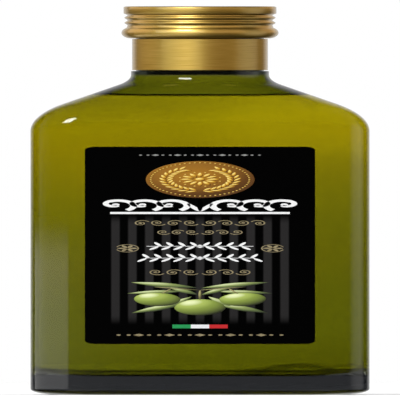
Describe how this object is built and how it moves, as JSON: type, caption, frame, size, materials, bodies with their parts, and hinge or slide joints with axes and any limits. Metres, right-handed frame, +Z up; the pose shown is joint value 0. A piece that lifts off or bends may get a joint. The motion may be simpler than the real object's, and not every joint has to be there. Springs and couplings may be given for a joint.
{
  "type": "olive oil bottle",
  "caption": "Square glass bottle filled with olive oil, with sloping shoulders, a dark front label and a ribbed gold metal screw cap.",
  "frame": {"origin": "on the bottle's axis, on the surface that it stands on", "axes": "+Z up along the bottle towards the cap, -Y out of the labelled front face, +X to the right when the label is seen from the front"},
  "size_m": [0.0736, 0.0741, 0.2496],
  "materials": {
    "bottle_glass": "smooth grey-green tinted container glass",
    "olive_oil": "clear olive-yellow liquid",
    "gold_aluminium": "satin gold lacquer, brushed round",
    "label_paper": "black semi-gloss paper"
  },
  "bodies": {
    "root": {"bottle_glass": "bottle_glass", "olive_oil": "olive_oil", "cap": "gold_aluminium", "cap_collar": "gold_aluminium", "label": "label_paper"}
  },
  "joints": []
}
